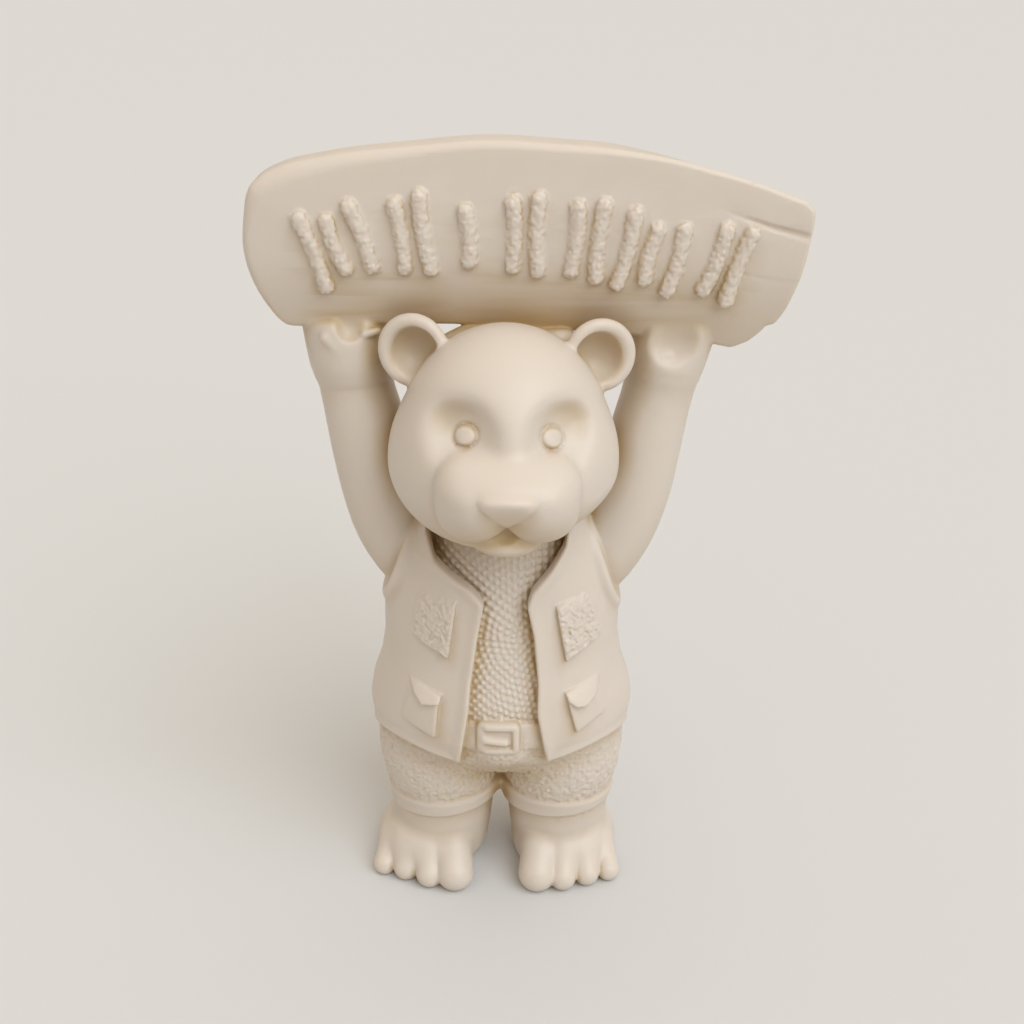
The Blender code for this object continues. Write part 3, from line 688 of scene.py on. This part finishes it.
def plate(points, corners, side, wrinkled):
    """A patch or pocket on the vest that stands further out at its inner side."""
    xs, zs = zip(*corners)
    inner, away = (max(xs), min(xs)) if side < 0 else (min(xs), max(xs))
    sink, start, end = PLATE_SINK

    def form(q):
        share = np.clip((q[:, 0] - inner) / (away - inner), 0.0, 1.0)
        lift = PLATE_PROUD[0] + (PLATE_PROUD[1] - PLATE_PROUD[0]) * share
        shell = column(q, VEST_LEVELS) - lift
        rim = polygon(q[:, 0], q[:, 2], corners)
        shell += sink * PLATE_PROUD[0] * step(max(zs) + start, max(zs) + end, q[:, 2])
        if wrinkled:
            high = WRINKLE_HIGH * (wrinkles(q, side + WRINKLE_SEED) - WRINKLE_SUNK)
            shell -= high * step(0.0, PATCH_FRAME, -rim)
        return round_meet(shell, rim, PLATE_EDGE)

    return in_front(points, corners, form)


def flap(points, corners):
    """A pocket flap, almost flush with the vest above and standing out below."""
    _, zs = zip(*corners)

    def form(q):
        share = np.clip((max(zs) - q[:, 2]) / (max(zs) - min(zs)), 0.0, 1.0)
        shell = column(q, VEST_LEVELS) - (FLAP_PROUD[0] + FLAP_PROUD[1] * share)
        return round_meet(shell, polygon(q[:, 0], q[:, 2], corners), FLAP_EDGE)

    return in_front(points, corners, form)


def belt(points):
    """The belt with its buckle."""
    z = points[:, 2]
    low, high = BELT
    band = column(points, BODY_LEVELS, BELT_PROUD)
    distance = round_meet(band, np.abs(z - (low + high) / 2) - (high - low) / 2, BELT_EDGE)
    middle, half = np.array(BUCKLE), np.array(BUCKLE_HALF)
    front = in_front(points, (middle - half, middle + half), buckle)
    return blend(distance, front, SOFT["belt"])


def buckle(q):
    """The belt's buckle."""
    lift = column(q, BODY_LEVELS, BELT_PROUD)
    u = np.abs(q[:, 0] - BUCKLE[0]) - BUCKLE_HALF[0] + BUCKLE_CORNER
    v = np.abs(q[:, 2] - BUCKLE[1]) - BUCKLE_HALF[1] + BUCKLE_CORNER
    edge = np.hypot(np.maximum(u, 0), np.maximum(v, 0)) + np.minimum(np.maximum(u, v), 0)
    edge = edge - BUCKLE_CORNER
    ring = np.abs(edge + BUCKLE_BAR) - BUCKLE_BAR
    start, end, less = BUCKLE_LOW_SIDE
    low_side = less * step(start, end, BUCKLE[0] - q[:, 0])
    bars = round_meet(ring, lift - BUCKLE_PROUD + low_side, SOFT["buckle bars"])
    inside = round_meet(edge, lift - BUCKLE_FLOOR, SOFT["buckle floor"])
    return blend(blend(bars, inside, SOFT["buckle"]), prong(q, lift), SOFT["prong"])


def prong(q, lift):
    """The buckle's prong: a short rounded bar on the belt."""
    start, end = ((BUCKLE[0] + x, BUCKLE[1] + z) for x, z in PRONG)
    away = stretch(q[:, 0], q[:, 2], start, end)
    return np.hypot(away, np.maximum(lift - PRONG_PROUD, 0) * PRONG_FLAT) - PRONG_RADIUS


def arms(points):
    """Both arms up to the board, with the hollow palms that carry it."""
    distance = pipe(points, curve(RIGHT_ARM))
    distance = np.minimum(distance, pipe(points, curve(LEFT_ARM)))
    for palm in PALMS:
        distance = cut(distance, ball(points, *palm), SOFT["palm"])
    for stations in NUBS:
        distance = blend(distance, pipe(points, stations), SOFT["nub"])
    return meet(distance, points[:, 2] - PAW_TOP, SOFT["paw top"])


def in_frame(points, place, turn):
    """Points in the own frame of something turned (degrees) and moved to its place."""
    rotation = np.float32(Euler([math.radians(a) for a in turn]).to_matrix())
    return (points - np.float32(place)) @ rotation


def head(points):
    """The head with its eyes, without its ears."""
    q = in_frame(points, HEAD_PIVOT, HEAD_TURN) + np.float32(HEAD_PIVOT)
    distance = bare_face(q)
    for side in (-1, 1):
        distance += eye(q, side)
    return distance


def bare_face(q):
    """Skull with eye sockets, muzzle, chin, mouth and nose."""
    z = q[:, 2]
    distance = skull(q)
    distance = blend(distance, snout(q), crease(z, MUZZLE_CREASE))
    distance = blend(distance, ball(q, *CHIN), SOFT["chin"])
    distance = cut(distance, mouth(q), SOFT["mouth"])
    return blend(distance, nose(q), crease(z, NOSE_CREASE))


def skull(q):
    """The skull, moved aside at the jaw, drawn in at the temples and hollowed round the eyes."""
    x, y, z = q.T
    aside, narrow, fall = JAW
    low = step(0.0, fall, SKULL[0][2] - z)
    bent = q.copy()
    bent[:, 0] = (x + aside * low) * (1 + narrow * low)
    bent[:, 0] *= 1 + TEMPLES[2] * bell(z - TEMPLES[0], TEMPLES[1])
    distance = ball(bent, *SKULL)
    middles, height, deep = SOCKETS
    inward, outward, above, below = SOCKET_REACH
    start, fade = SOCKET_START
    for middle in middles:
        wide = np.where((x - middle) * middle > 0, outward, inward)
        tall = np.where(z > height, above, below)
        ring = np.hypot((x - middle) / wide, (z - height) / tall)
        distance += deep * step(0.0, fade, start - y) * np.exp(-ring**3)
    return distance


def snout(q):
    """The muzzle: two lobes in front, a bridge over them and a rounded box behind."""
    z = q[:, 2]
    right, left = (ball(q, middle, LOBE_RADII, LOBE_DROP) for middle in LOBES)
    distance = blend(right, left, crease(z, LOBE_CREASE))
    bridge = meet(ball(q, *BRIDGE), BRIDGE_FLOOR - z, SOFT["bridge floor"])
    distance = blend(distance, bridge, SOFT["bridge"])
    middle, half, soft = MUZZLE
    edge = np.abs(q - np.float32(middle)) - np.float32(half) + soft
    box = length(np.maximum(edge, 0.0)) + np.minimum(edge.max(axis=1), 0.0) - soft
    return blend(distance, box, SOFT["muzzle"])


def mouth(q):
    """What is cut away for the mouth: a notch with a pointed top."""
    top, (outward, up) = MOUTH_SLOPES
    notch = outward * np.abs(q[:, 0] - MOUTH[0][0]) + up * (q[:, 2] - top)
    return meet(ball(q, *MOUTH), notch, SOFT["mouth top"])


def nose(q):
    """The nose: a flat front that narrows down to a tip."""
    x, y, z = q.T
    (at_y, at_z), (forward, up) = NOSE_FRONT
    front = forward * (y - at_y) + up * (z - at_z)
    distance = meet(ball(q, *NOSE), front, SOFT["nose front"])
    (tip_x, tip_z), (outward, up) = NOSE_FLANKS
    for side in (-1, 1):
        flank = outward * side * (x - tip_x) + up * (z - tip_z)
        distance = meet(distance, flank, SOFT["nose flank"])
    return distance


def eye_spots():
    """Where the eyes lie on the bare face: the first points inside it from in front."""
    front, back, count = -50, -10, 400
    made = []
    for x, z in EYES:
        line = np.zeros((count, 3), np.float32)
        line[:, 0] = x
        line[:, 1] = np.linspace(front, back, count)
        line[:, 2] = z
        first = int(np.argmax(bare_face(line) < 0))
        made.append(tuple(float(value) for value in line[first]))
    return made


def eye(q, side):
    """What an eye adds to the face's distance: a groove and the dome inside it."""
    reach = 6.0
    spot = EYE_SPOTS[side > 0]
    change = np.zeros(len(q), np.float32)
    close = np.all(np.abs(q - np.float32(spot)) < reach, axis=1)
    if close.any():
        p = in_frame(q[close], spot, (EYE_TURN[0], 0.0, EYE_TURN[1][side > 0]))
        ring = np.hypot(p[:, 0] / EYE_RADII[0], p[:, 2] / EYE_RADII[1])
        deep, wide = EYE_GROOVE
        dome = EYE_DOME * np.sqrt(np.clip(1 - ring * ring, 0.0, 1.0))
        change[close] = deep * bell(ring - 1, wide) - dome
    return change


EYE_SPOTS = eye_spots()


def ears(points):
    """Two cupped ears with a rim all round, and the ridges that join them to the crown."""
    wide, high = EAR_RADII
    behind, deep = EAR_BACK
    (inward, front, above), radii = EAR_HOLLOW
    distance = np.full(len(points), FAR, np.float32)
    for stations in SADDLES:
        distance = blend(distance, pipe(points, stations), SOFT["saddle"])
    for x, y, z, outward in EARS:
        q = in_frame(points, (x, y, z), (EAR_LEAN, 0.0, outward))
        ring = np.hypot(q[:, 0] / wide, q[:, 2] / high)
        rim = np.hypot((ring - 1) * wide, q[:, 1]) - EAR_RIM
        cup = blend(rim, ball(q, (0, behind, 0), (wide, deep, high)), SOFT["ear cup"])
        hollow = ball(q, (-math.copysign(inward, x), front, above), radii)
        distance = cut(blend(distance, cup, SOFT["ear"]), hollow, SOFT["ear hollow"])
    return distance


def cuffs(points):
    """Both cuffs, grown together where they meet."""
    return blend(cuff(points, -1), cuff(points, 1), SOFT["cuff web"])


def cuff(points, side):
    """A rolled cuff round the shin, with a light upper rim."""
    x = points[:, 0] - CUFF_X[side > 0]
    y = points[:, 1] - LEG_Y
    lower, upper = (
        level + outward * side * x - ahead * y for level, outward, ahead in CUFFS[side > 0]
    )
    over = points[:, 2] - upper
    proud, under, wide = CUFF_RIM
    wall = np.hypot(x, y) - CUFF_RADIUS - proud * bell(over + under, wide)
    return round_meet(wall, np.maximum(over, lower - points[:, 2]), CUFF_EDGE)


def foot(points, side):
    """A broad foot with four toes, the big toe inside."""
    foot_x = FOOT_X[side > 0]
    heel, instep = (
        ball(points, (side * (foot_x + x), y, z), radii) for (x, y, z), radii in (FOOT, INSTEP)
    )
    toes = np.full(len(points), FAR, np.float32)
    for root, tip, radius in TOES:
        back = TOE_SWEEP[side > 0] * step(*TOE_SPAN, tip[0])
        ends = [(side * (foot_x + x), y + back, z, radius) for x, y, z in (root, tip)]
        toes = blend(toes, pipe(points, ends), SOFT["toe"])
    return blend(blend(heel, instep, SOFT["instep"]), toes, SOFT["toes"])


def stroke_stations():
    """Stations of each raised stroke on the board: bowed, in groups, side by side."""
    made = []
    face = BOARD_FRONT - BOARD_CROWN[0] * STROKE_CROWN + STROKE_RADIUS - STROKE_PROUD
    for x, z, lean, count in STROKE_GROUPS:
        lean = math.radians(lean)
        along = np.array((math.sin(lean), math.cos(lean)))
        across = np.array((math.cos(lean), -math.sin(lean)))
        for k in range(count):
            half = STROKE_LENGTHS[(k + count) % len(STROKE_LENGTHS)] / 2 - STROKE_RADIUS
            middle = np.array((x, z)) + across * STROKE_GAP * (k - (count - 1) / 2)
            bow = STROKE_BOW * (-1) ** k
            stations = []
            for t in np.linspace(-1, 1, 7):
                spot = middle + along * half * t + across * bow * (1 - t * t)
                stations.append((spot[0], face, spot[1], STROKE_RADIUS))
            made.append(stations)
    return made


STROKES = stroke_stations()


def board(points, fine):
    """The sign board: crowned face, rounded edges, splits, and the raised strokes."""
    x, y, z = points.T
    outline = polygon(x, z, BOARD_OUTLINE)
    spans = np.array(BOARD_BEVEL, float)
    top = np.interp(x, spans[:, 0], spans[:, 1])
    rest = np.interp(x, spans[:, 0], spans[:, 2])
    bevel = (rest + (top - rest) * step(*BOARD_TOP_BEVEL, z)).astype(np.float32)
    crown = BOARD_CROWN[0] * step(0.0, BOARD_CROWN[1], -outline)
    lean = sum(
        deep * np.clip((z - start) / (end - start), 0.0, 1.5) ** 2
        for start, end, deep in BOARD_LEAN
    )
    face = BOARD_FRONT + lean - crown - y
    fall = np.interp(x, *zip(*BOARD_FALL)).astype(np.float32)
    outline = outline + fall * np.maximum(y - BOARD_FALL_START, 0) * step(*BOARD_FALL_TOP, z)
    distance = round_meet(outline, face, bevel)
    distance = round_meet(distance, y - BOARD_BACK, BOARD_BACK_BEVEL)
    for stations, wide in SPLITS:
        radii = wide * np.linspace(1.0, SPLIT_TIP, len(stations))
        front = BOARD_FRONT - SPLIT_FRONT
        line = [(u, front, v, radius) for (u, v), radius in zip(stations, radii)]
        distance = cut(distance, pipe(points, line), SOFT["split"])
    strokes = np.full(len(points), FAR, np.float32)
    for stations in STROKES:
        strokes = np.minimum(strokes, pipe(points, stations))
    if fine:
        rough = np.abs(strokes) < RELIEF_REACH
        high = pebbles(points[rough], ROUGH_PITCH, ROUGH_SEED) - ROUGH_SUNK
        strokes[rough] -= ROUGH_HIGH * high
    return blend(distance, strokes, SOFT["strokes"])


def statue(points, fine=True):
    """The whole statue, with or without its finer relief, each form close to its box alone."""
    distance = near(points, (-36, -30, 10), (36, 34, 128), lambda q: trunk(q, fine))
    # Two corners of the box round each form, the form, and its crease.
    forms = (
        ((-37, -28, 46), (37, 34, 118), lambda q: vest(q, fine), "vest"),
        ((-37, -28, 50), (37, 34, 64), belt, "belt"),
        ((-50, -4, 80), (54, 24, 170), arms, "arms"),
        ((-31, -46, 110), (32, 20, 170), head, "head"),
        ((-31, -14, 148), (33, 10, 170), ears, "ears"),
        ((-33, -13, 16), (34, 20, 33), cuffs, "cuffs"),
        ((-38, -20, 0), (-2, 24, 30), lambda q: foot(q, -1), "foot"),
        ((2, -20, 0), (38, 24, 30), lambda q: foot(q, 1), "foot"),
        ((-62, 0, 157), (73, 14, 208), lambda q: board(q, fine), "board"),
    )
    for low, high, form, soft in forms:
        distance = blend(distance, near(points, low, high, form), SOFT[soft])
    return np.maximum(distance, -points[:, 2])


# -------- meshing

def place():
    """The bear's own origin in the frame, from the board's right end and the vest's back."""
    end = min(x for x, _ in BOARD)
    back = max(middle + deep for _, _, deep, middle in VEST)
    return np.array((CAD_LOW[0] - end, CAD_HIGH[1] - back, CAD_LOW[2]))


def evaluated(points, fine):
    """The field at many points, in portions that fit the memory."""
    portion = 400_000
    parts = [statue(points[i:i + portion], fine) for i in range(0, len(points), portion)]
    return np.concatenate(parts)


def sampled(low, high):
    """The field on a grid of voxels: in coarse blocks first, and finer only near the surface."""
    block, small = 8, 2
    # Half a block's diagonal, as a share of its side, and what the finer relief may add to that.
    diagonal, block_slack, small_slack = 0.9, 2.0, 1.0
    count = np.ceil((high - low) / (VOXEL * block)).astype(int)
    cells = np.indices(count).reshape(3, -1).T * block
    coarse = evaluated((low + (cells + (block - 1) / 2) * VOXEL).astype(np.float32), False)
    grid = np.repeat(np.repeat(np.repeat(coarse.reshape(count), block, 0), block, 1), block, 2)
    cells = cells[np.abs(coarse) < diagonal * block * VOXEL + block_slack]
    for size, reach in ((small, diagonal * small * VOXEL + small_slack), (1, None)):
        span = block if size == small else small
        offsets = np.indices((span // size,) * 3).reshape(3, -1).T * size
        cells = (cells[:, None, :] + offsets).reshape(-1, 3)
        centres = (low + (cells + (size - 1) / 2) * VOXEL).astype(np.float32)
        values = evaluated(centres, size == 1)
        for shift in np.indices((size,) * 3).reshape(3, -1).T:
            grid[tuple((cells + shift).T)] = values
        if reach:
            cells = cells[np.abs(values) < reach]
    return grid


def outer_skin(corners, quads):
    """The largest connected surface alone, without the voids that lie closed inside the statue."""
    label = np.arange(len(corners))
    while True:
        lowest = label.copy()
        np.minimum.at(lowest, quads.ravel(), np.repeat(label[quads].min(axis=1), 4))
        lowest = lowest[lowest]
        if np.array_equal(lowest, label):
            break
        label = lowest
    quads = quads[label[quads[:, 0]] == np.bincount(label).argmax()]
    used, quads = np.unique(quads, return_inverse=True)
    return corners[used], quads.reshape(-1, 4)


def meshed(grid, low):
    """The zero surface of a grid as a mesh in design millimetres."""
    volume = openvdb.FloatGrid(background=FAR)
    volume.copyFromArray(grid)
    corners, quads = volume.convertToQuads(0.0)
    corners, quads = outer_skin(low + corners * VOXEL, quads.astype(np.int64))
    mesh = bpy.data.meshes.new("bear_statue")
    mesh.vertices.add(len(corners))
    mesh.vertices.foreach_set("co", corners.astype(np.float32).ravel())
    mesh.loops.add(quads.size)
    mesh.loops.foreach_set("vertex_index", quads.astype(np.int32).ravel())
    mesh.polygons.add(len(quads))
    mesh.polygons.foreach_set("loop_start", np.arange(0, quads.size, 4, dtype=np.int32))
    mesh.update(calc_edges=True)
    return mesh


def thin_out(thing, triangles):
    """Takes triangles away where the surface is smooth."""
    faces = sum(len(face.vertices) - 2 for face in thing.data.polygons)
    thin = thing.modifiers.new("thin", "DECIMATE")
    thin.ratio = min(1.0, triangles / faces)
    graph = bpy.context.evaluated_depsgraph_get()
    mesh = bpy.data.meshes.new_from_object(thing.evaluated_get(graph))
    mesh.validate()
    thing.modifiers.clear()
    thing.data = mesh


def of_vertices(mesh, name):
    """The places or the normals of a mesh's vertices."""
    values = np.empty(len(mesh.vertices) * 3, np.float32)
    mesh.vertices.foreach_get(name, values)
    return values.reshape(-1, 3)


def store_painted_shade(mesh):
    """Stores on each point how deep it lies between or under other surfaces, from 0 to 1, as the
    share of painted ochre shade.
    """
    spots, normals = of_vertices(mesh, "co"), of_vertices(mesh, "normal")
    hidden = np.zeros(len(spots), np.float32)
    for reach, share, rise in PAINTED_SHADE_LOOKS:
        way = normals * reach * math.sqrt(1 - rise * rise) + np.float32((0, 0, rise * reach))
        free = evaluated((spots + way).astype(np.float32), False) / reach
        hidden += share * (1 - np.clip(free, 0.0, 1.0))
    shade = mesh.color_attributes.new("painted_shade", "FLOAT_COLOR", "POINT")
    shade.data.foreach_set("color", np.repeat(hidden, 4))


def statue_piece():
    """The statue as one meshed piece in the frame."""
    origin = place()
    low = CAD_LOW - origin - MARGIN
    high = CAD_HIGH - origin + MARGIN
    thing = bpy.data.objects.new("bear_statue", meshed(sampled(low, high), low))
    bpy.context.scene.collection.objects.link(thing)
    thin_out(thing, TRIANGLES)
    store_painted_shade(thing.data)
    mesh = thing.data
    spots = np.clip(of_vertices(mesh, "co") + origin, CAD_LOW, CAD_HIGH) * MM
    mesh.vertices.foreach_set("co", spots.astype(np.float32).ravel())
    mesh.update()
    mesh.shade_smooth()
    return thing


# -------- material

IVORY = (0.66, 0.585, 0.51, 1.0)
# Ochre painted as shade in recesses, under overhangs and on surfaces that face down.
SHADE_OCHRE = (0.50, 0.36, 0.19, 1.0)
# Where ivory begins to turn to the painted ochre shade, and where it is that ochre in full.
PAINTED_SHADE_RANGE = (0.29, 0.88)
# How often the print layers' noise changes per design millimetre, along and across them; and the
# height of a layer.
LAYER_SCALE = (0.02, 0.02, 1.6)
LAYER_HIGH = 0.2


def link(tree, source, output, target, socket):
    """Joins a node's output to another one's socket."""
    tree.links.new(source.outputs[output], target.inputs[socket])


def put(node, values):
    """Sets a node's inputs."""
    for name, value in values.items():
        node.inputs[name].default_value = value


def new_material(name, values):
    """A material with these values on its shader."""
    material = bpy.data.materials.new(name)
    material.use_nodes = True
    put(material.node_tree.nodes["Principled BSDF"], values)
    return material


def ivory_plastic():
    """Satin, slightly translucent ivory plastic with painted ochre shade in its recesses and under
    overhangs, and fine print layers.
    """
    material = new_material("ivory_plastic_print", {
        "Roughness": 0.42, "IOR": 1.46, "Subsurface Weight": 0.25,
        "Subsurface Radius": (1.0, 0.6, 0.25), "Subsurface Scale": 2.5 * MM,
    })
    tree = material.node_tree
    shader = tree.nodes["Principled BSDF"]

    # Painted shade: the stored share turns the ivory towards ochre.
    painted_shade = tree.nodes.new("ShaderNodeAttribute")
    painted_shade.attribute_name = "painted_shade"
    depth = tree.nodes.new("ShaderNodeMapRange")
    put(depth, {"From Min": PAINTED_SHADE_RANGE[0], "From Max": PAINTED_SHADE_RANGE[1]})
    link(tree, painted_shade, "Fac", depth, "Value")
    shade_tint = tree.nodes.new("ShaderNodeMix")
    shade_tint.data_type = "RGBA"
    put(shade_tint, {"A": IVORY, "B": SHADE_OCHRE})
    link(tree, depth, "Result", shade_tint, "Factor")
    link(tree, shade_tint, "Result", shader, "Base Color")

    spot = tree.nodes.new("ShaderNodeTexCoord")
    layers = tree.nodes.new("ShaderNodeMapping")
    put(layers, {"Scale": [scale / MM for scale in LAYER_SCALE]})
    link(tree, spot, "Object", layers, "Vector")
    streaks = tree.nodes.new("ShaderNodeTexNoise")
    put(streaks, {"Scale": 1.0, "Detail": 3.0})
    link(tree, layers, "Vector", streaks, "Vector")
    bump = tree.nodes.new("ShaderNodeBump")
    put(bump, {"Strength": 0.12, "Distance": LAYER_HIGH * MM})
    link(tree, streaks, "Fac", bump, "Height")
    link(tree, bump, "Normal", shader, "Normal")
    return material


# -------- floor, light and camera

FLOOR_SIZE = 12.0
FLOOR_GREY = 0.62
# The sun stands in for a wide window: its width and its turns in degrees, strength and colour.
SUN_ANGLE = 50.0
SUN_TURNS = (44.0, 0.0, 42.0)
SUN_STRENGTH = 1.78
SUN_COLOUR = (0.84, 0.925, 1.0)
# The room's light by height, from the horizon upward.
ROOM_LIGHT = ((0.0, (0.24, 0.22, 0.195, 1.0)), (0.9, (1.06, 0.95, 0.81, 1.0)))
# Camera: its place from the bear's origin, how it looks down and rolls, and its angle of view.
CAMERA_SPOT = (2.52, -318.07, 286.39)
CAMERA_DOWN = 28.5
CAMERA_ROLL = 0.6
CAMERA_ANGLE = 40.0
CAMERA_CLIP = 0.01


def floor():
    """A plain pale floor, as part of the stage."""
    bpy.ops.mesh.primitive_plane_add(size=FLOOR_SIZE)
    plane = bpy.context.object
    plane.name = "floor"
    grey = (FLOOR_GREY, FLOOR_GREY, FLOOR_GREY, 1.0)
    plane.data.materials.append(new_material("floor_paper", {"Base Color": grey, "Roughness": 0.7}))


def lighting():
    """A wide sun from in front at the bear's left, and a room that is brighter above."""
    sun = bpy.data.lights.new("window", "SUN")
    sun.angle = math.radians(SUN_ANGLE)
    sun.energy = SUN_STRENGTH
    sun.color = SUN_COLOUR
    thing = bpy.data.objects.new("window", sun)
    thing.rotation_euler = [math.radians(turn) for turn in SUN_TURNS]
    bpy.context.scene.collection.objects.link(thing)
    world = bpy.data.worlds.new("room")
    bpy.context.scene.world = world
    world.use_nodes = True
    tree = world.node_tree
    background = tree.nodes["Background"]
    put(background, {"Strength": 1.0})
    direction = tree.nodes.new("ShaderNodeTexCoord")
    height = tree.nodes.new("ShaderNodeSeparateXYZ")
    link(tree, direction, "Generated", height, "Vector")
    ramp = tree.nodes.new("ShaderNodeValToRGB")
    for element, (position, colour) in zip(ramp.color_ramp.elements, ROOM_LIGHT):
        element.position = position
        element.color = colour
    link(tree, height, "Z", ramp, "Fac")
    link(tree, ramp, "Color", background, "Color")
    bpy.context.scene.view_settings.view_transform = "Standard"


def camera():
    """The camera at the photograph's viewing angle."""
    data = bpy.data.cameras.new("camera")
    data.angle = math.radians(CAMERA_ANGLE)
    data.clip_start = CAMERA_CLIP
    thing = bpy.data.objects.new("camera", data)
    thing.location = Vector(np.array(CAMERA_SPOT) + place()) * MM
    tilt = Matrix.Rotation(math.radians(90 - CAMERA_DOWN), 4, "X")
    roll = Matrix.Rotation(math.radians(CAMERA_ROLL), 4, "Z")
    thing.rotation_euler = (tilt @ roll).to_euler()
    bpy.context.scene.collection.objects.link(thing)
    bpy.context.scene.camera = thing


bear = statue_piece()
bear.data.materials.append(ivory_plastic())
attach(bear, "root")
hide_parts("bear_with_sign")
floor()
lighting()
camera()
